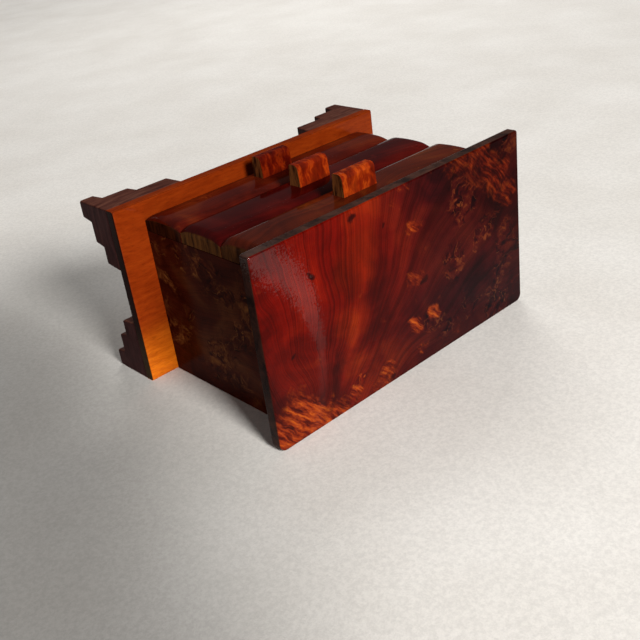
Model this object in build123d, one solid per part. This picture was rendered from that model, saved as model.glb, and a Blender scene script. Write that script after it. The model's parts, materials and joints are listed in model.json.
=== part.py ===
from build123d import *
import os

# A small three-drawer chest on bracket feet, in millimetres.
# +Z is up, the drawers open towards -Y, and the feet stand on z = 0 below the middle of the chest.
# Each physical piece is one solid in one node.

# ---- driving dimensions --------------------------------------------------------------------
TOP_WIDTH = 200.0          # top plate, left to right
TOP_DEPTH = 108.5          # top plate, front to back
TOP_THICKNESS = 7.0
TOP_FRONT_CORNER = 1.6     # corner radii in plan
TOP_BACK_CORNER = 4.5
TOP_EDGE_ROUND = 1.2

FOOT_HEIGHT = 28.5
PLINTH_WIDTH = 200.0
PLINTH_DEPTH = 106.5
PLINTH_THICKNESS = 6.4
PLINTH_EDGE_CHAMFER = 0.6
BODY_HEIGHT = 108.9        # from the plinth's top to the top plate's underside

BODY_WIDTH = 163.2
PANEL_THICKNESS = 6.0      # side panels
BACK_THICKNESS = 5.0
DIVIDER_THICKNESS = 4.0
RAIL_HEIGHT = 3.7          # slim rail between the top drawer and the top plate

LOWER_BOUNDARY = 33.6      # bottom drawer's upper edge, above the plinth
UPPER_BOUNDARY = 68.4      # middle drawer's upper edge, above the plinth

FRONT_EDGE_THICKNESS = 5.9  # drawer front, along its edges
# How far the middle of each drawer front stands in front of its edges.
FRONT_BOWS = {"bottom": 4.2, "middle": 5.4, "top": 6.5}
FRONT_CROWN = 1.4           # the part of the bow that is in its wide, nearly flat crown
FRONT_EDGE_ROLL = 8.0       # height of the rounded run down to its lower and upper edges
FRONT_END_ROLL = 7.0        # length of the rounded run down to each end
FRONT_SPACE = 0.5           # gap between one drawer front and the next
SEAM_GAP = 0.3              # between the drawer fronts and the case behind them

PULL_PROJECTION = 12.2      # how far a pull stands in front of the bow
PULL_ROOT = 4.0             # how deep it is let into the front
PULL_BASE_THICKNESS = 8.6
PULL_TIP_THICKNESS = 7.0
PULL_UPPER_ROUND = 3.0
PULL_LOWER_ROUND = 1.2
PULL_DROP = 1.5             # below the middle of its drawer
PULL_WIDTHS = {"bottom": 22.5, "middle": 22.5, "top": 24.5}
PULL_SHIFTS = {"bottom": 0.0, "middle": 1.5, "top": 1.5}    # to the right of the middle

BOX_WALL = 4.0              # drawer sides and back
BOX_FLOOR = 2.5             # drawer bottom
BOX_FLOOR_RAISE = 3.0       # its height above the lower edge of the sides
SIDE_PLAY = 0.4
LIFT_PLAY = 0.3             # under the drawer
HEAD_PLAY = 1.2             # over the drawer
REAR_PLAY = 1.0             # behind the drawer

BRACKET_THICKNESS = 8.0
BRACKET_LEVELS = (8.2, 15.6, FOOT_HEIGHT)   # top of each step, above the ground
FRONT_BRACKET_STEPS = (9.0, 27.0, 49.0)     # length of each step, from the corner
SIDE_BRACKET_STEPS = (10.0, 23.5, 35.0)
RISER_SLANT = 1.5                           # how far each riser leans out as it goes up
BLOCK_LEG = 12.0
BLOCK_HEIGHT = 19.0

LOCK_TRAVEL = 12.0          # from the released place to the middle, where the peg blocks the drawer
LOCK_BAR_LENGTH = 44.0
LOCK_BAR_HEIGHT = 6.0
LOCK_BAR_WIDE = 13.0        # dovetail, next to the plinth
LOCK_BAR_NARROW = 9.0
LOCK_GAP = 0.3
PEG_RADIUS = 2.0
PEG_RISE = 2.7              # above the plinth
PEG_SOCKET = 4.0            # depth of its hole in the bar
PEG_TO_BACK = 0.8           # from the peg to the drawer's back
NOTCH_WIDTH = 7.0
NOTCH_HEIGHT = 5.0
GUIDE_LENGTH = 84.0
GUIDE_WIDTH = 5.8
THUMB_GROOVES = 3
THUMB_GROOVE_PITCH = 6.0
THUMB_GROOVE_RADIUS = 1.2

# ---- places worked out from them ------------------------------------------------------------
PLINTH_TOP = FOOT_HEIGHT + PLINTH_THICKNESS
BODY_TOP = PLINTH_TOP + BODY_HEIGHT
TOTAL_HEIGHT = BODY_TOP + TOP_THICKNESS

BODY_DEPTH = 89.4                                  # seam behind the drawer fronts to the back
SEAM_TO_TIP = FRONT_EDGE_THICKNESS + max(FRONT_BOWS.values()) + PULL_PROJECTION
TOTAL_DEPTH = BODY_DEPTH + SEAM_TO_TIP
BACK_Y = TOTAL_DEPTH / 2
SEAM_Y = BACK_Y - BODY_DEPTH
EDGE_Y = SEAM_Y - FRONT_EDGE_THICKNESS
CASE_FRONT_Y = SEAM_Y + SEAM_GAP
BACK_PANEL_Y = BACK_Y - BACK_THICKNESS

HALF_BODY = BODY_WIDTH / 2
HALF_INNER = HALF_BODY - PANEL_THICKNESS
HALF_BOX = HALF_INNER - SIDE_PLAY
BOX_BACK_Y = BACK_PANEL_Y - REAR_PLAY

LOWER_Z = PLINTH_TOP + LOWER_BOUNDARY
UPPER_Z = PLINTH_TOP + UPPER_BOUNDARY
RAIL_Z = BODY_TOP - RAIL_HEIGHT

PEG_Y = BOX_BACK_Y - BOX_WALL - PEG_TO_BACK - PEG_RADIUS
PEG_X = LOCK_TRAVEL


def block(x0, x1, y0, y1, z0, z1):
    """A box between six planes."""
    middle = Pos((x0 + x1) / 2, (y0 + y1) / 2, (z0 + z1) / 2)
    return middle * Box(x1 - x0, y1 - y0, z1 - z0)


def prism(plane, points, amount):
    """A straight-sided outline on a plane, given depth along the plane's normal."""
    return extrude(plane * make_face(Polyline(*points, close=True)), amount=amount)


# ---- case -----------------------------------------------------------------------------------
def top_plate():
    """Overhanging plate with rounded corners and soft edges."""
    front = BACK_Y - TOP_DEPTH
    plate = block(-TOP_WIDTH / 2, TOP_WIDTH / 2, front, BACK_Y, BODY_TOP, TOTAL_HEIGHT)
    corners = plate.edges().filter_by(Axis.Z).sort_by(Axis.Y)
    plate = fillet(corners[:2], radius=TOP_FRONT_CORNER)
    corners = plate.edges().filter_by(Axis.Z).sort_by(Axis.Y)
    plate = fillet(corners[-2:], radius=TOP_BACK_CORNER)
    rims = plate.faces().sort_by(Axis.Z)[-1].edges() + plate.faces().sort_by(Axis.Z)[0].edges()
    return fillet(rims, radius=TOP_EDGE_ROUND)


def plinth_board():
    """Board under the body, with a slot for the locking peg."""
    board = block(-PLINTH_WIDTH / 2, PLINTH_WIDTH / 2, BACK_Y - PLINTH_DEPTH, BACK_Y,
                  FOOT_HEIGHT, PLINTH_TOP)
    board = chamfer(board.faces().sort_by(Axis.Z)[-1].edges(), length=PLINTH_EDGE_CHAMFER)
    half_slot = PEG_RADIUS + LOCK_GAP
    slot = block(0, PEG_X, PEG_Y - half_slot, PEG_Y + half_slot, FOOT_HEIGHT - 1, PLINTH_TOP + 1)
    for end_x in (0, PEG_X):
        slot += Pos(end_x, PEG_Y, FOOT_HEIGHT + PLINTH_THICKNESS / 2) * Cylinder(
            half_slot, PLINTH_THICKNESS + 2)
    return board - slot


def side_panel(side):
    """Side of the body; side is -1 for the left and +1 for the right."""
    inner, outer = sorted((side * HALF_INNER, side * HALF_BODY))
    return block(inner, outer, CASE_FRONT_Y, BACK_Y, PLINTH_TOP, BODY_TOP)


def back_panel():
    return block(-HALF_INNER, HALF_INNER, BACK_PANEL_Y, BACK_Y, PLINTH_TOP, BODY_TOP)


def divider(boundary_z):
    """Dust board between two drawers."""
    half = DIVIDER_THICKNESS / 2
    return block(-HALF_INNER, HALF_INNER, CASE_FRONT_Y, BACK_PANEL_Y,
                 boundary_z - half, boundary_z + half)


def top_rail():
    return block(-HALF_BODY, HALF_BODY, EDGE_Y, CASE_FRONT_Y, RAIL_Z, BODY_TOP)


# ---- feet -----------------------------------------------------------------------------------
def bracket_outline(steps):
    """Stepped outline of a bracket: distance from the corner, and height."""
    points = [(0, 0)]
    floor = 0
    for length, level in zip(steps, BRACKET_LEVELS):
        points += [(length, floor), (length + RISER_SLANT, level)]
        floor = level
    return points + [(0, FOOT_HEIGHT)]


def foot(side, corner_y, inward):
    """Two mitred brackets and a glue block. inward is +1 for a front corner, -1 for a back one."""
    corner_x = side * PLINTH_WIDTH / 2
    across = [(corner_x - side * s, z) for s, z in bracket_outline(FRONT_BRACKET_STEPS)]
    along = [(corner_y + inward * s, z) for s, z in bracket_outline(SIDE_BRACKET_STEPS)]
    across_plane = Plane.XZ.offset(-corner_y)
    along_plane = Plane.YZ.offset(corner_x)
    across_bracket = prism(across_plane, across, -inward * BRACKET_THICKNESS)
    along_bracket = prism(along_plane, along, -side * BRACKET_THICKNESS)
    reach = 2 * BRACKET_THICKNESS
    mitre = [(corner_x, corner_y), (corner_x - side * reach, corner_y),
             (corner_x - side * reach, corner_y + inward * reach)]
    wedge = prism(Plane.XY.offset(-1), mitre, FOOT_HEIGHT + 2)
    far_x = corner_x - side * (FRONT_BRACKET_STEPS[-1] + RISER_SLANT + reach)
    x_span = sorted((corner_x - side * reach, far_x))
    y_span = sorted((corner_y, corner_y + inward * reach))
    rest = block(*x_span, *y_span, -1, FOOT_HEIGHT + 1)
    across_bracket = across_bracket & (wedge + rest)
    along_bracket = along_bracket - wedge

    block_x = corner_x - side * BRACKET_THICKNESS
    block_y = corner_y + inward * BRACKET_THICKNESS
    triangle = [(block_x, block_y), (block_x - side * BLOCK_LEG, block_y),
                (block_x, block_y + inward * BLOCK_LEG)]
    glue_block = prism(Plane.XY.offset(FOOT_HEIGHT - BLOCK_HEIGHT), triangle, BLOCK_HEIGHT)
    return across_bracket, along_bracket, glue_block


# ---- drawers --------------------------------------------------------------------------------
def pull(name, middle_z):
    """Finger tab with a rounded tip, let into the bowed front."""
    width = PULL_WIDTHS[name]
    crest_y = EDGE_Y - FRONT_BOWS[name]
    root_y = crest_y + PULL_ROOT
    tip_y = crest_y - PULL_PROJECTION
    base, tip = PULL_BASE_THICKNESS / 2, PULL_TIP_THICKNESS / 2
    centre_z = middle_z - PULL_DROP
    outline = [(root_y, centre_z - base), (root_y, centre_z + base), (crest_y, centre_z + base),
               (tip_y, centre_z + tip), (tip_y, centre_z - tip), (crest_y, centre_z - base)]
    tab = prism(Plane.YZ.offset(PULL_SHIFTS[name] - width / 2), outline, width)
    tip_edges = tab.edges().filter_by(Axis.X).group_by(Axis.Y)[0].sort_by(Axis.Z)
    tab = fillet(tip_edges[-1], radius=PULL_UPPER_ROUND)
    lower = tab.edges().filter_by(Axis.X).group_by(Axis.Y)[0].sort_by(Axis.Z)[0]
    return fillet(lower, radius=PULL_LOWER_ROUND)


def bowed_front(name, low, high, tab):
    """Cushion-shaped front: a shallow crown that rolls down to its edges and both ends."""
    crest_y = EDGE_Y - FRONT_BOWS[name]
    shoulder_y = crest_y + FRONT_CROWN
    crown = ThreePointArc((shoulder_y, low + FRONT_EDGE_ROLL), (crest_y, (low + high) / 2),
                          (shoulder_y, high - FRONT_EDGE_ROLL))
    upper_roll = TangentArc(crown @ 1, (EDGE_Y, high), tangent=crown % 1)
    lower_roll = TangentArc(crown @ 0, (EDGE_Y, low), tangent=(crown % 0) * -1)
    rear = Polyline((EDGE_Y, low), (SEAM_Y, low), (SEAM_Y, high), (EDGE_Y, high))
    bow_face = make_face(crown + upper_roll + lower_roll + rear)
    bowed = extrude(Plane.YZ.offset(-HALF_BODY) * bow_face, amount=BODY_WIDTH)

    clear_y = crest_y - 1                      # in front of the bow, so that the roll only cuts ends
    drop = EDGE_Y - clear_y
    radius = (FRONT_END_ROLL ** 2 + drop ** 2) / (2 * drop)
    half_roll = FRONT_END_ROLL / 2
    sag = radius - (radius ** 2 - half_roll ** 2) ** 0.5
    flat_half = HALF_BODY - FRONT_END_ROLL
    right = ThreePointArc((HALF_BODY, EDGE_Y), (flat_half + half_roll, clear_y + sag),
                          (flat_half, clear_y))
    left = ThreePointArc((-flat_half, clear_y), (-flat_half - half_roll, clear_y + sag),
                         (-HALF_BODY, EDGE_Y))
    crest = Line((flat_half, clear_y), (-flat_half, clear_y))
    rear = Polyline((-HALF_BODY, EDGE_Y), (-HALF_BODY, SEAM_Y), (HALF_BODY, SEAM_Y),
                    (HALF_BODY, EDGE_Y))
    plan = extrude(Plane.XY.offset(low - 1) * make_face(right + crest + left + rear),
                   amount=high - low + 2)
    return (bowed & plan) - tab


def drawer(name, floor_z, head_z, front_low, front_high, notched):
    """Six pieces of a drawer. floor_z and head_z are what it slides on and under."""
    low = floor_z + LIFT_PLAY
    high = head_z - HEAD_PLAY
    board_low = low + BOX_FLOOR_RAISE
    inner = HALF_BOX - BOX_WALL
    back_face = BOX_BACK_Y - BOX_WALL
    back = block(-inner, inner, back_face, BOX_BACK_Y, low, high)
    if notched:
        half = NOTCH_WIDTH / 2
        back -= block(PEG_X - half, PEG_X + half, back_face - 1, BOX_BACK_Y + 1,
                      low - 1, low + NOTCH_HEIGHT)
    tab = pull(name, (front_low + front_high) / 2)
    return {
        f"{name}_drawer_front": bowed_front(name, front_low, front_high, tab),
        f"{name}_drawer_left_side": block(-HALF_BOX, -inner, SEAM_Y, BOX_BACK_Y, low, high),
        f"{name}_drawer_right_side": block(inner, HALF_BOX, SEAM_Y, BOX_BACK_Y, low, high),
        f"{name}_drawer_back": back,
        f"{name}_drawer_bottom": block(-inner, inner, SEAM_Y, back_face,
                                       board_low, board_low + BOX_FLOOR),
        f"{name}_drawer_pull": tab,
    }


# ---- lock -----------------------------------------------------------------------------------
def lock_bar():
    """Dovetailed bar under the plinth, with thumb grooves and a hole for the peg."""
    high = FOOT_HEIGHT - LOCK_GAP
    low = high - LOCK_BAR_HEIGHT
    wide, narrow = LOCK_BAR_WIDE / 2, LOCK_BAR_NARROW / 2
    outline = [(PEG_Y - wide, high), (PEG_Y + wide, high), (PEG_Y + narrow, low),
               (PEG_Y - narrow, low)]
    bar = prism(Plane.YZ.offset(PEG_X - LOCK_BAR_LENGTH / 2), outline, LOCK_BAR_LENGTH)
    for number in range(THUMB_GROOVES):
        groove_x = PEG_X + (number - (THUMB_GROOVES - 1) / 2) * THUMB_GROOVE_PITCH
        bar -= Pos(groove_x, PEG_Y, low) * Rot(90, 0, 0) * Cylinder(THUMB_GROOVE_RADIUS,
                                                                  LOCK_BAR_WIDE)
    return bar - lock_peg()


def lock_peg():
    low = FOOT_HEIGHT - LOCK_GAP - PEG_SOCKET
    high = PLINTH_TOP + PEG_RISE
    return Pos(PEG_X, PEG_Y, (low + high) / 2) * Cylinder(PEG_RADIUS, high - low)


def lock_guide(side):
    """Undercut batten that holds the bar up; side is -1 in front of it and +1 behind it."""
    high = FOOT_HEIGHT
    low = high - LOCK_BAR_HEIGHT
    wide = PEG_Y + side * (LOCK_BAR_WIDE / 2 + LOCK_GAP)
    narrow = PEG_Y + side * (LOCK_BAR_NARROW / 2 + LOCK_GAP)
    outer = PEG_Y + side * (LOCK_BAR_WIDE / 2 + GUIDE_WIDTH)
    outline = [(wide, high), (narrow, low), (outer, low), (outer, high)]
    return prism(Plane.YZ.offset((LOCK_TRAVEL - GUIDE_LENGTH) / 2), outline, GUIDE_LENGTH)


# ---- assembly -------------------------------------------------------------------------------
def build():
    nodes = {
        "top_plate": top_plate(),
        "plinth_board": plinth_board(),
        "side_panel_left": side_panel(-1),
        "side_panel_right": side_panel(1),
        "back_panel": back_panel(),
        "lower_divider": divider(LOWER_Z),
        "upper_divider": divider(UPPER_Z),
        "top_rail": top_rail(),
    }
    for side, side_name in ((-1, "left"), (1, "right")):
        for end, corner_y, inward in (("front", BACK_Y - PLINTH_DEPTH, 1), ("back", BACK_Y, -1)):
            across, along, glue_block = foot(side, corner_y, inward)
            nodes[f"{end}_{side_name}_foot_{end}_bracket"] = across
            nodes[f"{end}_{side_name}_foot_side_bracket"] = along
            nodes[f"{end}_{side_name}_foot_glue_block"] = glue_block

    gap = FRONT_SPACE / 2
    half_divider = DIVIDER_THICKNESS / 2
    nodes.update(drawer("bottom", PLINTH_TOP, LOWER_Z - half_divider,
                        PLINTH_TOP + FRONT_SPACE, LOWER_Z - gap, True))
    nodes.update(drawer("middle", LOWER_Z + half_divider, UPPER_Z - half_divider,
                        LOWER_Z + gap, UPPER_Z - gap, False))
    nodes.update(drawer("top", UPPER_Z + half_divider, RAIL_Z,
                        UPPER_Z + gap, RAIL_Z - FRONT_SPACE, False))

    nodes["lock_bar"] = lock_bar()
    nodes["lock_peg"] = lock_peg()
    nodes["lock_guide_front"] = lock_guide(-1)
    nodes["lock_guide_back"] = lock_guide(1)
    return nodes


os.makedirs("parts", exist_ok=True)
for node, solid in build().items():
    export_step(solid, f"parts/{node}.step")
    size = solid.bounding_box().size
    print(f"{node:36s} {size.X:7.1f} {size.Y:7.1f} {size.Z:7.1f}")
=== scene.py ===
# The looks of the three-drawer puzzle chest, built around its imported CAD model.
# Row frame: metres, +Z up, drawers open towards -Y. The chest is shown lying on its back, so the
# studio floor is the plane of its back face and the lights hang on the -Y side.
# Materials work in centimetres, on each piece's own coordinates, so figure moves with its piece.
import json
import math

import bmesh
import bpy
from mathutils import Matrix, Vector


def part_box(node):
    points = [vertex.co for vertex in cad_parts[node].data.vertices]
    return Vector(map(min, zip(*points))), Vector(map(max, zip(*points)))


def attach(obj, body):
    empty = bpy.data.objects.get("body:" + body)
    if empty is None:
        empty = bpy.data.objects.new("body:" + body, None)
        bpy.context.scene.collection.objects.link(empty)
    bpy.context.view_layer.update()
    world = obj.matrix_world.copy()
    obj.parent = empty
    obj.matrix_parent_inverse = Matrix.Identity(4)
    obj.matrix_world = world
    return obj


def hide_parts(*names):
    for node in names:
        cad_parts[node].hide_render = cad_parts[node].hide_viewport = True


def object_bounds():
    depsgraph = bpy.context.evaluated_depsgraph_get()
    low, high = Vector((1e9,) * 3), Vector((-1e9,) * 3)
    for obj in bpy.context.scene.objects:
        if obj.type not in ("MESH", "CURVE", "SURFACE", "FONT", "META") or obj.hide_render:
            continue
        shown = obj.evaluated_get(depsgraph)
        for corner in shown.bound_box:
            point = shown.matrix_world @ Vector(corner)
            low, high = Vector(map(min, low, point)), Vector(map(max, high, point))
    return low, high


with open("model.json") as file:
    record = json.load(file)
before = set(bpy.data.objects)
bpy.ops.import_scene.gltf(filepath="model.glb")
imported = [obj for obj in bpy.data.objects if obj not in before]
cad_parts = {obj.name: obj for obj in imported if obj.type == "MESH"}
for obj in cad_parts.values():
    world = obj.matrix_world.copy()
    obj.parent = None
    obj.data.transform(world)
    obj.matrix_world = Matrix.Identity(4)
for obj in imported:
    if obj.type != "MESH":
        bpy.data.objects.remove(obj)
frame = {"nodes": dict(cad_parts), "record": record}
cad_box = [list(corner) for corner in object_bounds()]

MM = 0.001
CM_PER_METRE = 100
X, Y, Z = 0, 1, 2
DRAWERS = ("bottom", "middle", "top")

# ---- places ---------------------------------------------------------------------------------
LOW, HIGH = Vector(cad_box[0]), Vector(cad_box[1])
MIDDLE = (LOW + HIGH) / 2
FLOOR_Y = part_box("top_plate")[1].y
FLOOR_GAP = 0.2 * MM
FLOOR_REACH = 4.0

CAMERA_PLACE = Vector((0.3163, -0.2143, 0.4578))
CAMERA_AIM = Vector((0.0524, 0.0061, 0.1375))
CAMERA_ROLL = math.radians(-7.99)
CAMERA_LENS = 51.44            # millimetres, as is the sensor
CAMERA_SENSOR = 36


# ---- node graphs ----------------------------------------------------------------------------
COAT_IOR = 1.5
WOOD_SPECULAR = 0.0            # the wood under the coat reflects nothing of its own
WAVE_HEIGHT = 0.12 * MM
PEEL_SHARE = 0.03


class Graph:
    """Short calls for building a material's nodes. colour, roughness, normal and waves are what
    lacquer() puts together; a wood's function fills them in."""

    def __init__(self, name):
        self.material = bpy.data.materials.new(name)
        self.material.use_nodes = True
        self.tree = self.material.node_tree
        self.shader = self.tree.nodes["Principled BSDF"]
        self.output = self.tree.nodes["Material Output"]
        self.colour = None
        self.roughness = None
        self.normal = None
        self.waves = None

    def add(self, kind, values=None, **settings):
        """A node; values fill its sockets by name or number, with a constant or another socket."""
        made = self.tree.nodes.new(kind)
        for key, value in settings.items():
            setattr(made, key, value)
        for key, value in (values or {}).items():
            self.fill(made.inputs[key], value)
        return made

    def fill(self, socket, value):
        if isinstance(value, bpy.types.NodeSocket):
            self.tree.links.new(value, socket)
        elif hasattr(value, "__len__") and len(value) == 3 and len(socket.default_value) == 4:
            socket.default_value = (*value, 1)
        else:
            socket.default_value = value

    # -- where a point is --
    def place(self):
        """Where a point is on its own piece, in centimetres."""
        source = self.add("ShaderNodeTexCoord").outputs["Object"]
        return self.scaled(source, (CM_PER_METRE,) * 3)

    def facing(self, axis):
        """How squarely the surface faces along one axis, either way: 0 to 1."""
        normal = self.add("ShaderNodeTexCoord").outputs["Normal"]
        return self.size(self.split(normal)[axis])

    def split(self, vector):
        return self.add("ShaderNodeSeparateXYZ", {0: vector}).outputs

    def join(self, x, y, z):
        return self.add("ShaderNodeCombineXYZ", {0: x, 1: y, 2: z}).outputs[0]

    def vector(self, operation, a, b):
        return self.add("ShaderNodeVectorMath", {0: a, 1: b}, operation=operation).outputs[0]

    def scaled(self, place, scales):
        return self.vector("MULTIPLY", place, scales)

    def warp(self, place, scale, amount, detail):
        """Place pushed about by smooth noise, up to about half of amount each way."""
        push = self.vector("SUBTRACT", self.noise(place, scale, detail, output="Color"), (0.5,) * 3)
        return self.vector("ADD", place, self.scaled(push, (amount,) * 3))

    # -- arithmetic --
    def maths(self, operation, a, b=0.0, clamp=False):
        return self.add("ShaderNodeMath", {0: a, 1: b}, operation=operation,
                        use_clamp=clamp).outputs[0]

    def plus(self, a, b):
        return self.maths("ADD", a, b)

    def minus(self, a, b):
        return self.maths("SUBTRACT", a, b)

    def times(self, a, b, clamp=False):
        return self.maths("MULTIPLY", a, b, clamp)

    def over(self, a, b):
        return self.maths("DIVIDE", a, b)

    def size(self, value):
        return self.maths("ABSOLUTE", value)

    def smooth(self, value, low, high, to_low=0.0, to_high=1.0):
        """to_low where value is at low or past it, to_high at high, and a smooth step between."""
        values = {"Value": value, "From Min": low, "From Max": high, "To Min": to_low,
                  "To Max": to_high}
        return self.add("ShaderNodeMapRange", values, interpolation_type="SMOOTHSTEP").outputs[0]

    # -- patterns --
    def noise(self, place, scale, detail=3.0, rough=0.5, distort=0.0, output="Fac"):
        values = {"Vector": place, "Scale": scale, "Detail": detail, "Roughness": rough,
                  "Distortion": distort}
        return self.add("ShaderNodeTexNoise", values).outputs[output]

    def cells(self, place, scale):
        """Distance to the nearest of many scattered points."""
        values = {"Vector": place, "Scale": scale}
        return self.add("ShaderNodeTexVoronoi", values).outputs["Distance"]

    def bump(self, height, distance, strength=1.0):
        values = {"Height": height, "Distance": distance, "Strength": strength}
        return self.add("ShaderNodeBump", values).outputs["Normal"]

    # -- colours --
    def ramp(self, value, stops, tones):
        """Each tone where value is at its stop, and a blend in between."""
        made = self.add("ShaderNodeValToRGB", {"Fac": value})
        band = made.color_ramp
        while len(band.elements) < len(stops):
            band.elements.new(1.0)
        for element, stop, tone in zip(band.elements, stops, tones):
            element.position = stop
            element.color = (*tone, 1)
        return made.outputs["Color"]

    def mix(self, share, a, b, mode="MIX"):
        made = self.add("ShaderNodeMix", data_type="RGBA", blend_type=mode)
        share_socket, a_socket, b_socket = (made.inputs[key] for key in ("Factor", 6, 7))
        self.fill(share_socket, share)
        self.fill(a_socket, a)
        self.fill(b_socket, b)
        return made.outputs[2]

    def tint(self, share, colour, tone):
        """Colour multiplied by tone, as far as share says."""
        return self.mix(share, colour, tone, "MULTIPLY")

    def shade(self, colour, level):
        """Colour made darker or lighter by one level."""
        return self.tint(1.0, colour, self.join(level, level, level))

    # -- the finished wood --
    def lacquer(self, coat, coat_roughness):
        """Wood under a clear coat; coat is how much of it there is, as a number or a socket."""
        inputs = self.shader.inputs
        self.fill(inputs["Base Color"], self.colour)
        self.fill(inputs["Roughness"], self.roughness)
        self.fill(inputs["Normal"], self.normal)
        self.fill(inputs["Coat Weight"], coat)
        self.fill(inputs["Coat Normal"], self.waves)
        inputs["Specular IOR Level"].default_value = WOOD_SPECULAR
        inputs["Coat Roughness"].default_value = coat_roughness
        inputs["Coat IOR"].default_value = COAT_IOR
        return self.material


def lacquer_waves(graph, place):
    """Slight unevenness of hand-rubbed lacquer, with a faint orange peel."""
    slow = graph.noise(place, 0.9, 2.0)
    fast = graph.noise(place, 9.0, 2.0)
    return graph.bump(graph.plus(slow, graph.times(fast, PEEL_SHARE)), WAVE_HEIGHT)


# ---- burl -----------------------------------------------------------------------------------
BURL_RELIEF = 0.02 * MM
RING_RADIUS = 0.19             # of a knot's bright ring, in the cells' distances
RING_FADE = 0.10


def grain_lines(graph, across, line_count):
    """Coarse and fine lines, from the coordinate that runs across them."""
    def lines(count, rough):
        return graph.noise(graph.join(graph.times(across, count), 0.0, 0.0), 1.0, 3.0, rough)

    return graph.plus(graph.times(lines(3.0, 0.6), 0.45), graph.times(lines(line_count, 0.7), 0.55))


def clear_wood(graph, flowing, lines, tones, lines_depth):
    """The wood between the knots: slow clouds of tone, with grain lines."""
    _, deep, mid, warm, _ = tones
    clouds = graph.noise(flowing, 0.30, 3.0, 0.55, 0.4)
    ground = graph.ramp(clouds, (0.32, 0.50, 0.68), (deep, mid, warm))
    return graph.shade(ground, graph.smooth(lines, 0.38, 0.58, 1.0 - lines_depth, 1.0 + lines_depth / 3))


def knotted_wood(graph, place, swirled, veins, tones):
    """Swirled veins, clusters of knots with bright rings and dark eyes, and bright worm lines."""
    dark, *_, fleck = tones
    figure = graph.ramp(veins, (0.32, 0.42, 0.50, 0.58, 0.70), tones)
    eyes = graph.cells(swirled, 2.1)
    ring = graph.smooth(graph.size(graph.minus(eyes, RING_RADIUS)), RING_FADE, 0.0)
    cluster = graph.smooth(graph.noise(place, 0.55, 2.0), 0.50, 0.62)
    figure = graph.mix(graph.times(ring, cluster), figure, fleck)
    figure = graph.mix(graph.times(graph.smooth(eyes, 0.12, 0.04), 0.8), figure, dark)
    off_worm = graph.size(graph.minus(graph.noise(swirled, 0.9, 1.0), 0.5))
    return graph.mix(graph.times(graph.smooth(off_worm, 0.014, 0.004), 0.6), figure, fleck)


def burl(name, grain, tones, spread, patches=None, scale=1.0, lines_depth=0.35, line_count=16.0):
    """Burl wood: fine flowing grain, broken by knotted patches. grain gives the coordinate that
    the lines run across; tones go from dark to the bright flecks; spread is how much of the face
    is burled; patches adds places where the burl is sure to be."""
    graph = Graph(name)
    place = graph.scaled(graph.place(), (scale,) * 3)
    flowing = graph.warp(graph.warp(place, 0.13, 4.5, 1.0), 0.6, 0.5, 2.0)
    swirled = graph.warp(graph.warp(place, 0.50, 2.6, 3.0), 1.6, 0.8, 3.0)
    lines = grain_lines(graph, grain(graph, flowing), line_count)
    veins = graph.noise(swirled, 1.2, 5.0, 0.62, 0.5)
    ground = clear_wood(graph, flowing, lines, tones, lines_depth)
    figure = knotted_wood(graph, place, swirled, veins, tones)

    share = graph.plus(graph.noise(place, 0.26, 3.0, 0.6, 0.3), spread)
    if patches is not None:
        share = graph.plus(share, patches(graph, place))
    ragged = graph.minus(graph.noise(swirled, 0.8, 4.0, 0.62), 0.5)
    share = graph.plus(share, graph.times(ragged, 0.9))
    colour = graph.mix(graph.smooth(share, 0.60, 0.74), ground, figure)

    pores = graph.noise(swirled, 16.0, 3.0, 0.7)
    graph.colour = graph.shade(colour, graph.smooth(pores, 0.30, 0.42, 0.6, 1.0))
    graph.roughness = graph.smooth(veins, 0.3, 0.7, 0.45, 0.32)
    graph.normal = graph.bump(graph.plus(lines, pores), BURL_RELIEF, 0.5)
    graph.waves = lacquer_waves(graph, place)
    return graph


def across_axis(axis):
    """Grain lines that run square to one axis."""
    return lambda graph, place: graph.split(place)[axis]


def end_grain(graph, tones, line_scale):
    """Striped end grain on the flat ends of a piece. Gives where the ends are."""
    stripes = graph.noise(graph.scaled(graph.place(), (0.2, 0.15, 1.0)), line_scale, 3.0, 0.6)
    ends = graph.smooth(graph.facing(X), 0.90, 0.97)
    graph.colour = graph.mix(ends, graph.colour, graph.ramp(stripes, (0.38, 0.62), tones))
    return ends


def by_drawer(graph, tones):
    """A tone for each drawer, from the bottom one up, by the heights of the fronts' lower edges."""
    blur = 0.01
    height = graph.split(graph.place())[Z]
    colour = tones[0]
    for drawer, tone in zip(DRAWERS[1:], tones[1:]):
        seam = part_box(drawer + "_drawer_front")[0].z * CM_PER_METRE
        colour = graph.mix(graph.smooth(height, seam - blur, seam + blur), colour, tone)
    return colour


# ---- the plate's burl -------------------------------------------------------------------------
PLATE_TONES = ((0.010, 0.001, 0.001), (0.032, 0.0015, 0.001), (0.078, 0.003, 0.0014),
               (0.13, 0.008, 0.002), (0.34, 0.046, 0.005))
FLAME_TONES = ((0.030, 0.002, 0.001), (0.12, 0.010, 0.002), (0.26, 0.032, 0.004), (0.42, 0.078, 0.007))
PIN_TONE = (0.008, 0.001, 0.001)
RIM_TONES = ((0.014, 0.006, 0.005), (0.060, 0.024, 0.016))

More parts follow.
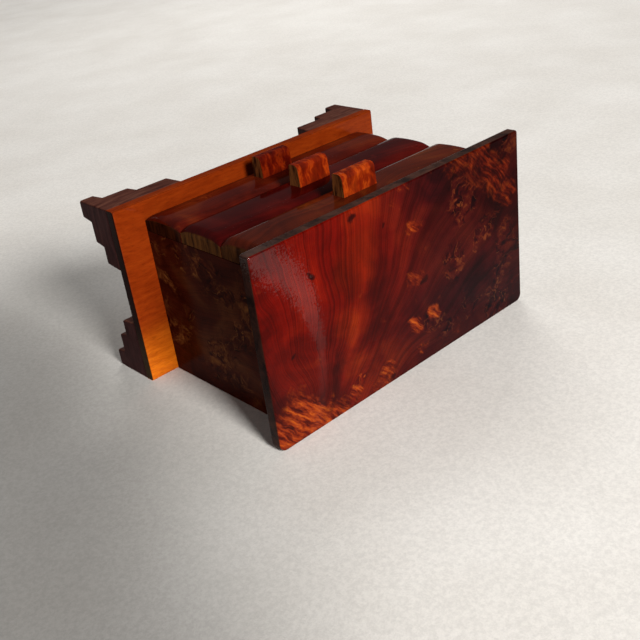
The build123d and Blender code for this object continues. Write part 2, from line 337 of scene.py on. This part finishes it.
# Places on the plate in centimetres: x, y, how far each reaches, and how strong it is.
PLATE_ROOT = (7.2, 6.8)        # the grain fans out from here: x, y
PLATE_KNOTS = ((-3.7, 0.7, 1.5, 0.40), (-8.6, 0.8, 1.4, 0.34), (-6.9, -0.4, 1.0, 0.30),
               (-8.1, 2.4, 1.4, 0.30), (-5.2, 3.9, 1.3, 0.24), (-7.4, 4.5, 1.6, 0.28),
               (-1.9, 3.2, 1.2, 0.28), (1.2, 3.6, 1.0, 0.20), (4.2, 4.4, 0.9, 0.26),
               (1.7, 5.1, 1.0, 0.26), (-4.8, -2.6, 1.6, 0.18), (-8.8, -4.6, 1.4, 0.2))
PLATE_FLAMES = ((-6.3, -4.5, 2.0, 0.9), (-8.2, -3.2, 1.7, 0.8), (-9.3, -1.6, 1.2, 0.7),
                (-4.2, -4.8, 1.1, 0.7), (8.7, 4.3, 1.9, 1.0), (6.9, 5.1, 1.8, 0.9),
                (5.4, 5.6, 1.2, 0.7), (9.5, 5.3, 1.3, 0.8), (-0.7, -2.5, 0.6, 0.9),
                (-0.5, -4.9, 0.7, 0.6), (-0.6, 0.5, 0.9, 0.7), (-1.8, 3.0, 0.6, 0.9),
                (-0.3, 3.3, 0.8, 1.0), (2.2, 5.0, 1.1, 0.8), (4.3, 4.9, 0.7, 0.8),
                (-0.6, 5.1, 0.8, 0.7), (-3.6, 4.6, 0.8, 0.5))
PLATE_PINS = ((6.2, -2.8, 0.26, 0.9), (3.7, -4.7, 0.30, 0.9), (-1.4, 0.9, 0.24, 0.8),
              (1.5, -3.2, 0.18, 0.8), (8.4, 0.9, 0.20, 0.8))
PLATE_GLOW = ((3.0, -4.6, 1.8, 0.6), (3.6, -2.3, 1.9, 1.0), (4.3, 0.6, 1.7, 0.75),
              (4.6, 3.0, 1.2, 0.3))

# The glossy strip's middle line is x = GLOSS_X + GLOSS_BEND * (y - GLOSS_TURN) ** 2.
GLOSS_X = 6.5
GLOSS_TURN = 1.3
GLOSS_BEND = 0.066


def spots(graph, place, listed):
    """Sum of round spots that fade out from their middles."""
    x, y, _ = graph.split(place)
    total = 0.0
    for spot_x, spot_y, reach, strength in listed:
        off_x = graph.over(graph.minus(x, spot_x), reach)
        off_y = graph.over(graph.minus(y, spot_y), reach)
        squared = graph.plus(graph.times(off_x, off_x), graph.times(off_y, off_y))
        total = graph.plus(graph.smooth(squared, 1.0, 0.0, 0.0, strength), total)
    return total


def plate_grain(graph, place):
    """Lines that fan out from a point behind the plate's back right corner and straighten towards
    its front edge."""
    root_x, root_y = PLATE_ROOT
    x, y, _ = graph.split(place)
    away = graph.maths("MAXIMUM", graph.minus(root_y, y), 0.6)
    return graph.over(graph.minus(x, root_x), graph.maths("POWER", away, 0.75))


def plate_patches(graph, place):
    """Where the plate is burled; its front right part is clear, straight-grained wood."""
    clear = graph.smooth(graph.split(place)[X], -5.0, 2.0, 0.02, -0.16)
    return graph.plus(spots(graph, place, PLATE_KNOTS), clear)


def plate_zones(graph, drifting, colour):
    """Redder towards the front right, with a golden glow; plum on the left, dark at the front left
    corner and dull along the back."""
    x, y, _ = graph.split(drifting)
    red = graph.times(graph.smooth(x, 0.0, 5.0), graph.smooth(y, 3.0, -2.0))
    colour = graph.tint(graph.times(red, 0.9), colour, (1.2, 0.6, 0.4))
    glow = graph.times(spots(graph, drifting, PLATE_GLOW), 0.8, clamp=True)
    colour = graph.tint(glow, colour, (1.7, 3.4, 1.2))
    colour = graph.tint(graph.smooth(x, 2.5, -3.0), colour, (0.36, 0.55, 1.3))
    corner = graph.smooth(graph.minus(graph.times(y, -0.9), x), 5.5, 10.0)
    colour = graph.tint(corner, colour, (0.5, 0.4, 0.4))
    back = graph.times(graph.smooth(y, 0.5, 3.5), graph.smooth(x, 5.0, 2.0))
    return graph.tint(back, colour, (0.62, 0.75, 1.1))


def plate_flames(graph, place, drifting, ragged, colour):
    """Orange flames of slanting fibres, with ragged edges, darker on the left."""
    slanted = graph.add("ShaderNodeVectorRotate", {"Vector": graph.warp(place, 0.7, 0.5, 3.0), "Angle": 0.8},
                        rotation_type="Z_AXIS").outputs[0]
    fibres = graph.noise(graph.scaled(slanted, (0.5, 2.6, 1.0)), 1.6, 5.0, 0.65)
    tone = graph.ramp(fibres, (0.38, 0.47, 0.56, 0.66), FLAME_TONES)
    left = graph.smooth(graph.split(drifting)[X], -1.0, -6.0)
    tone = graph.tint(left, tone, (0.52, 0.38, 0.45))
    flame = graph.plus(spots(graph, drifting, PLATE_FLAMES), graph.times(graph.minus(ragged, 0.5), 2.4))
    return graph.mix(graph.times(graph.smooth(flame, 0.25, 1.20), 0.8), colour, tone)


def plate_coat(graph, place, drifting, rim, ends):
    """How much lacquer: a curved, frayed, glossy strip along the right side, a thin dull coat
    elsewhere that thickens towards the back, and some more on the front and back rims."""
    x, y, _ = graph.split(place)
    bend = graph.minus(graph.split(drifting)[Y], GLOSS_TURN)
    middle = graph.plus(graph.times(graph.times(bend, bend), GLOSS_BEND), GLOSS_X)
    width = graph.smooth(y, -5.0, 2.0, 1.15, 0.30)
    frayed = graph.times(graph.minus(graph.noise(place, 9.0, 4.0, 0.75), 0.5), 4.0)
    off_strip = graph.minus(graph.over(graph.size(graph.minus(x, middle)), width), frayed)
    glossy = graph.times(graph.smooth(off_strip, 1.1, 0.5), graph.smooth(y, 4.5, -3.0, 0.12, 0.62))
    dull = graph.smooth(y, -3.0, 5.0, 0.08, 0.22)
    on_rim = graph.times(rim, graph.smooth(ends, 0.0, 1.0, 0.28, 0.02))
    return graph.plus(graph.plus(glossy, dull), on_rim)


def plate_burl():
    """Cherry red with a golden glow on the right, plum brown on the left, with orange flames at
    two corners, a few dark pin knots and a dark mottled rim, with painted shade on its ends."""
    graph = burl("plate_burl", plate_grain, PLATE_TONES, spread=0.0, patches=plate_patches,
                 lines_depth=0.55, line_count=42.0)
    place = graph.place()
    drifting = graph.warp(graph.warp(place, 0.35, 2.2, 3.0), 1.4, 0.8, 4.0)
    ragged = graph.noise(drifting, 0.9, 5.0, 0.65)
    colour = plate_zones(graph, drifting, graph.colour)
    colour = plate_flames(graph, place, drifting, ragged, colour)
    colour = graph.mix(graph.times(spots(graph, drifting, PLATE_PINS), 1.0, clamp=True), colour, PIN_TONE)

    rim = graph.smooth(graph.facing(Z), 0.75, 0.35)
    ends = graph.smooth(graph.facing(X), 0.5, 0.9)
    mottle = graph.ramp(ragged, (0.38, 0.62), RIM_TONES)
    # painted shade: the rim's faces that look along X are darkened
    mottle = graph.tint(graph.times(ends, 0.8), mottle, (0.35, 0.25, 0.25))
    graph.colour = graph.mix(rim, colour, mottle)
    return graph.lacquer(plate_coat(graph, place, drifting, rim, ends), 0.05)


# ---- the other burls ----------------------------------------------------------------------------
SIDE_TONES = ((0.005, 0.001, 0.001), (0.020, 0.002, 0.001), (0.044, 0.006, 0.002),
              (0.085, 0.022, 0.006), (0.15, 0.050, 0.012))
FRONT_TONES = ((0.010, 0.001, 0.001), (0.036, 0.003, 0.0015), (0.066, 0.006, 0.002),
               (0.11, 0.018, 0.004), (0.22, 0.050, 0.008))
FRONT_END_TONES = ((0.024, 0.008, 0.003), (0.090, 0.032, 0.008))
PULL_TONES = ((0.012, 0.002, 0.001), (0.070, 0.005, 0.002), (0.19, 0.016, 0.003),
              (0.38, 0.055, 0.005), (0.62, 0.14, 0.012))
PULL_BAND_TONES = ((0.035, 0.003, 0.002), (0.16, 0.012, 0.002), (0.50, 0.080, 0.006),
                   (0.20, 0.020, 0.003))
PULL_END_TONES = ((0.030, 0.008, 0.004), (0.20, 0.065, 0.018))

# What the bottom, middle and top drawer's front, pull and front's ends are multiplied by.
FRONT_TINTS = ((1.0, 0.8, 0.8), (0.62, 0.18, 0.4), (1.2, 1.6, 1.2))
PULL_TINTS = ((0.50, 0.28, 0.3), (0.92, 0.72, 0.6), (1.05, 0.95, 0.8))
END_TINTS = ((0.40, 0.25, 0.30), (1.0, 1.0, 1.0), (0.75, 0.70, 0.8))
WHITE = (1.0, 1.0, 1.0)


def side_burl():
    """Dark brown burl of the sides and back."""
    return burl("side_burl", across_axis(Y), SIDE_TONES, spread=0.10, scale=0.9).lacquer(0.10, 0.16)


def front_burl():
    """Each drawer front is cut from another part of the board: brown red, dark cherry, golden."""
    graph = burl("front_burl", across_axis(Z), FRONT_TONES, spread=-0.05, scale=0.8)
    graph.colour = graph.tint(1.0, graph.colour, by_drawer(graph, FRONT_TINTS))
    ends = end_grain(graph, FRONT_END_TONES, 4.0)
    end_tint = graph.mix(ends, WHITE, by_drawer(graph, END_TINTS))
    graph.colour = graph.tint(1.0, graph.colour, end_tint)
    return graph.lacquer(graph.smooth(ends, 0.0, 1.0, 0.38, 0.05), 0.10)


def pull_burl():
    """Dark red burl with bright orange bands that run out towards the pull's tip."""
    graph = burl("pull_burl", across_axis(X), PULL_TONES, spread=0.02, scale=1.3)
    long_place = graph.scaled(graph.warp(graph.place(), 1.5, 0.5, 3.0), (1.0, 0.30, 0.5))
    bands = graph.noise(long_place, 2.4, 3.0, 0.6)
    tone = graph.ramp(bands, (0.40, 0.50, 0.60, 0.68), PULL_BAND_TONES)
    colour = graph.mix(0.45, graph.colour, tone)
    graph.colour = graph.tint(1.0, colour, by_drawer(graph, PULL_TINTS))
    ends = end_grain(graph, PULL_END_TONES, 6.0)
    return graph.lacquer(graph.smooth(ends, 0.0, 1.0, 0.26, 0.08), 0.10)


# ---- straight-grained wood --------------------------------------------------------------------
PAINTED_BOUNCE_TINT = (2.8, 5.2, 2.4)  # painted bounce light from the floor on the plinth, towards its back edge
PLAIN_RELIEF = 0.05 * MM
PLAIN_WOODS = {
    "plinth_wood": {
        "tones": ((0.115, 0.011, 0.001), (0.18, 0.021, 0.002), (0.24, 0.033, 0.003)),
        "stretch": (0.10, 1.0, 1.0), "coat": 0.14, "coat_roughness": 0.16, "roughness": 0.40,
        # golden: painted bounce light from the floor, lighter and more golden towards the back edge
        "line_scale": 4.2, "contrast": 0.6, "end_tint": (0.07, 0.16, 1.2), "golden": True},
    "foot_wood": {
        "tones": ((0.038, 0.010, 0.008), (0.080, 0.026, 0.018), (0.135, 0.054, 0.034)),
        "stretch": (0.15, 0.15, 1.0), "coat": 0.14, "coat_roughness": 0.30, "roughness": 0.42,
        "line_scale": 4.0, "end_tint": (0.42, 0.34, 0.5)},
    "inner_wood": {
        "tones": ((0.30, 0.15, 0.07), (0.46, 0.26, 0.13), (0.58, 0.36, 0.20)),
        "stretch": (0.25, 0.10, 1.0), "coat": 0.0, "coat_roughness": 0.3, "roughness": 0.55,
        "line_scale": 4.0},
    "lock_wood": {
        "tones": ((0.16, 0.07, 0.03), (0.28, 0.13, 0.055), (0.38, 0.20, 0.09)),
        "stretch": (0.10, 1.0, 1.0), "coat": 0.2, "coat_roughness": 0.35, "roughness": 0.45,
        "line_scale": 5.0},
}


def plain_wood(name, tones, stretch, coat, coat_roughness, roughness, line_scale, contrast=1.0,
               end_tint=None, golden=False):
    """Solid wood whose figure is drawn out along the axes where stretch is small. end_tint colours
    the faces that look along X; golden paints bounce light from the floor towards the back edge."""
    graph = Graph(name)
    place = graph.place()
    bent = graph.warp(place, 0.25, 1.2, 2.0)
    rings = graph.noise(graph.scaled(bent, stretch), line_scale, 4.0, 0.6, 0.2)
    fine = graph.noise(graph.scaled(place, stretch), line_scale * 6, 3.0, 0.6)
    clouds = graph.noise(place, 0.5, 2.0)
    figure = graph.plus(graph.times(rings, 0.75), graph.times(clouds, 0.25))
    half = 0.16 / contrast
    colour = graph.ramp(figure, (0.5 - half, 0.5, 0.5 + half), tones)
    colour = graph.shade(colour, graph.smooth(fine, 0.34, 0.50, 0.72, 1.0))
    # painted bounce light from the floor: lighter and more golden towards the back edge, which lies on the
    # floor
    if golden:
        painted_bounce = graph.smooth(graph.split(bent)[Y], 1.5, 5.5)
        colour = graph.tint(painted_bounce, colour, PAINTED_BOUNCE_TINT)
    if end_tint is not None:
        colour = graph.tint(graph.smooth(graph.facing(X), 0.7, 0.9), colour, end_tint)
    graph.colour = colour
    graph.roughness = graph.smooth(rings, 0.3, 0.7, roughness + 0.06, roughness - 0.04)
    graph.normal = graph.bump(graph.plus(rings, fine), PLAIN_RELIEF, 0.7)
    graph.waves = lacquer_waves(graph, place)
    return graph.lacquer(coat, coat_roughness)


def chest_materials():
    """Every material, by the record's slot."""
    burls = {"top_burl": plate_burl(), "side_burl": side_burl(), "front_burl": front_burl(),
             "pull_burl": pull_burl()}
    woods = {name: plain_wood(name, **looks) for name, looks in PLAIN_WOODS.items()}
    return {**burls, **woods}


# ---- soft edges -------------------------------------------------------------------------------
WELD_GAP = 0.002 * MM
EDGE_STEPS = 3
CAD_EDGE_ANGLE = math.radians(28)
EDGE_ROUND = {"top_burl": 0.3 * MM, "side_burl": 0.5 * MM, "front_burl": 0.9 * MM, "pull_burl": 0.5 * MM,
              "plinth_wood": 0.5 * MM, "foot_wood": 0.9 * MM, "inner_wood": 0.4 * MM,
              "lock_wood": 0.5 * MM}


def round_edges(piece, width, angle):
    """Round the edges that are sharper than angle."""
    edge = piece.modifiers.new("edge", "BEVEL")
    edge.width = width
    edge.segments = EDGE_STEPS
    edge.limit_method = "ANGLE"
    edge.angle_limit = angle
    piece.data.shade_smooth()
    return edge


def dress_cad(materials):
    """Material and soft edges for every CAD piece, by the record's slots; no mesh is touched."""
    for part in frame["record"]["subparts"]:
        piece = frame["nodes"][part["node"]]
        slot = part["material_slot"]
        piece.data.materials.clear()
        piece.data.materials.append(materials[slot])
        weld = piece.modifiers.new("weld", "WELD")
        weld.merge_threshold = WELD_GAP
        round_edges(piece, EDGE_ROUND[slot], CAD_EDGE_ANGLE)
        flat = piece.modifiers.new("flat", "WEIGHTED_NORMAL")
        flat.weight = 100


# ---- drawer fronts ----------------------------------------------------------------------------
FRONT_EDGE = 5.9 * MM          # thickness along the edges
FRONT_ROLL = 8.0 * MM          # rounded run down to the lower and upper edges
END_ROLL = 4.5 * MM            # rounded run down to each end
FRONT_CROWN = 1.3 * MM         # share of the bow that is in the shallow crown
ARRIS = 0.5 * MM
ARRIS_ANGLE = math.radians(35)
END_ROLL_STEPS, COLUMNS = 12, 40
FRONT_ROLL_STEPS, ROWS = 10, 8


def pillow_rise(distance, roll):
    """Quarter round: 0 at an edge, 1 from one roll inside it."""
    inside = min(1.0, max(0.0, distance / roll))
    return math.sqrt(max(0.0, 1 - (1 - inside) ** 2))


def spaced(low, high, roll, fine, coarse):
    """Grid lines from low to high, close together over the rolls at both ends."""
    turns = [roll * (1 - math.cos(math.pi / 2 * step / fine)) for step in range(fine)]
    middle = [low + roll + (high - low - 2 * roll) * step / coarse for step in range(coarse + 1)]
    return [low + turn for turn in turns] + middle + [high - turn for turn in reversed(turns)]


def cushion_face(name, low, high, edge_y):
    """Mesh of a front's outer face: it rises from edge_y at its edges to the box's -Y side."""
    columns = spaced(low.x, high.x, END_ROLL, END_ROLL_STEPS, COLUMNS)
    rows = spaced(low.z, high.z, FRONT_ROLL, FRONT_ROLL_STEPS, ROWS)
    middle_z, half_z = (low.z + high.z) / 2, (high.z - low.z) / 2
    rolled = edge_y - low.y - FRONT_CROWN
    points = []
    for z in rows:
        crown_share = 1 - ((z - middle_z) / half_z) ** 2
        side_rise = pillow_rise(min(z - low.z, high.z - z), FRONT_ROLL)
        for x in columns:
            round_share = pillow_rise(min(x - low.x, high.x - x), END_ROLL) * side_rise
            points.append((x, edge_y - round_share * (rolled + FRONT_CROWN * crown_share), z))
    wide = len(columns)
    corners = [row * wide + column for row in range(len(rows) - 1) for column in range(wide - 1)]
    faces = [(first, first + 1, first + wide + 1, first + wide) for first in corners]
    mesh = bpy.data.meshes.new(name)
    mesh.from_pydata(points, [], faces)
    return mesh


def close_behind(mesh, seam_y):
    """Draw a mesh's rim back to the plane at seam_y, and close it there."""
    shell = bmesh.new()
    shell.from_mesh(mesh)
    rim = [line for line in shell.edges if line.is_boundary]
    drawn = bmesh.ops.extrude_edge_only(shell, edges=rim)["geom"]
    for vertex in (item for item in drawn if isinstance(item, bmesh.types.BMVert)):
        vertex.co.y = seam_y
    back_rim = [item for item in drawn if isinstance(item, bmesh.types.BMEdge) and item.is_boundary]
    bmesh.ops.contextual_create(shell, geom=back_rim)
    bmesh.ops.recalc_face_normals(shell, faces=shell.faces)
    shell.to_mesh(mesh)
    shell.free()


def drawer_front(name):
    """Cushion-shaped front with a smooth bow, in place of the plain one and in its box."""
    low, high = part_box(name)
    mesh = cushion_face(name + "_shaped", low, high, high.y - FRONT_EDGE)
    close_behind(mesh, high.y)
    front = bpy.data.objects.new(name + "_shaped", mesh)
    bpy.context.scene.collection.objects.link(front)
    edge = round_edges(front, ARRIS, ARRIS_ANGLE)
    edge.harden_normals = True
    return front


def shape_fronts(materials):
    for drawer in DRAWERS:
        name = drawer + "_drawer_front"
        front = drawer_front(name)
        front.data.materials.append(materials["front_burl"])
        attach(front, drawer + "_drawer")
        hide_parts(name)


# ---- studio ---------------------------------------------------------------------------------
CLOTH_TONES = ((0.74, 0.71, 0.67), (0.80, 0.775, 0.74))
CLOTH_RELIEF = 0.4 * MM
SHADE_SKEW = 0.35              # painted shade: the cloth's colour darkens beside the chest's right side
SHADE_SPAN = (0.0, 19.0)       # centimetres
SHADE_FADE = (-40.0, 0.0)
SHADE_DEPTH = 0.35

# Lights and the world: places in metres, powers in watts.
KEY_PLACE, KEY_SIZE, KEY_POWER = (0.45, -1.20, 2.30), 0.70, 96
KEY_COLOUR = (1.0, 0.985, 0.96)
CARD_PLACE, CARD_TARGET = (-1.20, -0.12, -1.50), (0, -0.12, 0)
CARD_LENGTH, CARD_WIDTH, CARD_POWER = 2.4, 0.34, 1.8
CARD_COLOUR = (1.0, 0.99, 0.98)
WINDOW_PLACE, WINDOW_TARGET = (-0.95, -1.2, -0.9), (-0.6, FLOOR_Y, -0.6)
WINDOW_SIZE, WINDOW_POWER = 0.9, 14
WINDOW_COLOUR = (1.0, 0.99, 0.97)
BACK_PLACE, BACK_SIZE, BACK_POWER = (0.3, 1.1, 0.5), 0.8, 9
BACK_COLOUR = (1.0, 0.98, 0.96)
WORLD_COLOUR = (0.95, 0.94, 0.92)
WORLD_STRENGTH = 0.13


def floor_material():
    """Pale cloth, clear where it is seen from behind, so that the chest's back can be looked at."""
    graph = Graph("floor_cloth")
    place = graph.place()
    weave = graph.noise(place, 14.0, 3.0, 0.7)
    colour = graph.ramp(graph.noise(place, 0.12, 2.0), (0.3, 0.7), CLOTH_TONES)
    speckle = graph.noise(place, 5.0, 4.0, 0.75)
    colour = graph.shade(colour, graph.smooth(speckle, 0.30, 0.70, 0.90, 1.06))
    x, _, z = graph.split(place)
    # painted shade: the cloth's colour is darkened beside the chest's right side, fading out towards the far
    # end
    towards_shade = graph.minus(x, graph.times(z, SHADE_SKEW))
    dimmed = graph.times(graph.smooth(towards_shade, *SHADE_SPAN), graph.smooth(z, *SHADE_FADE))
    colour = graph.shade(colour, graph.smooth(dimmed, 0.0, 1.0, 1.0, SHADE_DEPTH))
    graph.fill(graph.shader.inputs["Base Color"], colour)
    graph.fill(graph.shader.inputs["Normal"], graph.bump(weave, CLOTH_RELIEF, 0.5))
    graph.shader.inputs["Roughness"].default_value = 0.9
    graph.shader.inputs["Specular IOR Level"].default_value = 0.1
    clear = graph.add("ShaderNodeBsdfTransparent")
    behind = graph.add("ShaderNodeNewGeometry").outputs["Backfacing"]
    both = graph.add("ShaderNodeMixShader", {0: behind, 1: graph.shader.outputs[0], 2: clear.outputs[0]})
    graph.tree.links.new(both.outputs[0], graph.output.inputs["Surface"])
    return graph.material


def add_floor():
    """A wide sheet under the chest's back, facing -Y."""
    y = FLOOR_Y + FLOOR_GAP
    around = ((-1, -1), (1, -1), (1, 1), (-1, 1))
    mesh = bpy.data.meshes.new("floor")
    mesh.from_pydata([(x * FLOOR_REACH, y, z * FLOOR_REACH) for x, z in around], [], [(0, 1, 2, 3)])
    mesh.materials.append(floor_material())
    floor = bpy.data.objects.new("floor", mesh)
    bpy.context.scene.collection.objects.link(floor)
    floor.visible_shadow = False


def aim(thing, place, target, roll=0.0):
    """Stand a camera or light at place, looking at target, with -Y at its top."""
    ahead = (target - place).normalized()
    right = ahead.cross(Vector((0, -1, 0))).normalized()
    top = right.cross(ahead)
    matrix = Matrix((right, top, -ahead)).transposed().to_4x4()
    thing.matrix_world = Matrix.Translation(place) @ matrix @ Matrix.Rotation(roll, 4, "Z")


def add_light(name, place, target, size, power, colour):
    lamp = bpy.data.lights.new(name, "AREA")
    lamp.shape = "DISK"
    lamp.size = size
    lamp.energy = power
    lamp.color = colour
    thing = bpy.data.objects.new(name, lamp)
    bpy.context.scene.collection.objects.link(thing)
    aim(thing, Vector(place), Vector(target))
    return thing


def add_lights():
    """A key light, a long low card that the lacquer reflects, a window for the far part of the
    cloth, and a light behind the chest for the views from there."""
    add_light("key", KEY_PLACE, MIDDLE, KEY_SIZE, KEY_POWER, KEY_COLOUR)
    card = add_light("card", CARD_PLACE, CARD_TARGET, CARD_LENGTH, CARD_POWER, CARD_COLOUR)
    card.data.shape = "RECTANGLE"
    card.data.size_y = CARD_WIDTH
    window = add_light("window", WINDOW_PLACE, WINDOW_TARGET, WINDOW_SIZE, WINDOW_POWER, WINDOW_COLOUR)
    window.visible_glossy = False
    add_light("back_light", BACK_PLACE, MIDDLE, BACK_SIZE, BACK_POWER, BACK_COLOUR)


def add_world():
    world = bpy.data.worlds.new("studio")
    bpy.context.scene.world = world
    world.use_nodes = True
    background = world.node_tree.nodes["Background"]
    background.inputs["Color"].default_value = (*WORLD_COLOUR, 1)
    background.inputs["Strength"].default_value = WORLD_STRENGTH
    bpy.context.scene.view_settings.view_transform = "Standard"


def add_camera():
    camera = bpy.data.objects.new("camera", bpy.data.cameras.new("camera"))
    bpy.context.scene.collection.objects.link(camera)
    camera.data.lens = CAMERA_LENS
    camera.data.sensor_width = CAMERA_SENSOR
    camera.data.clip_start = 0.01
    aim(camera, CAMERA_PLACE, CAMERA_AIM, CAMERA_ROLL)
    bpy.context.scene.camera = camera


add_camera()
materials = chest_materials()
dress_cad(materials)
shape_fronts(materials)
add_floor()
add_lights()
add_world()
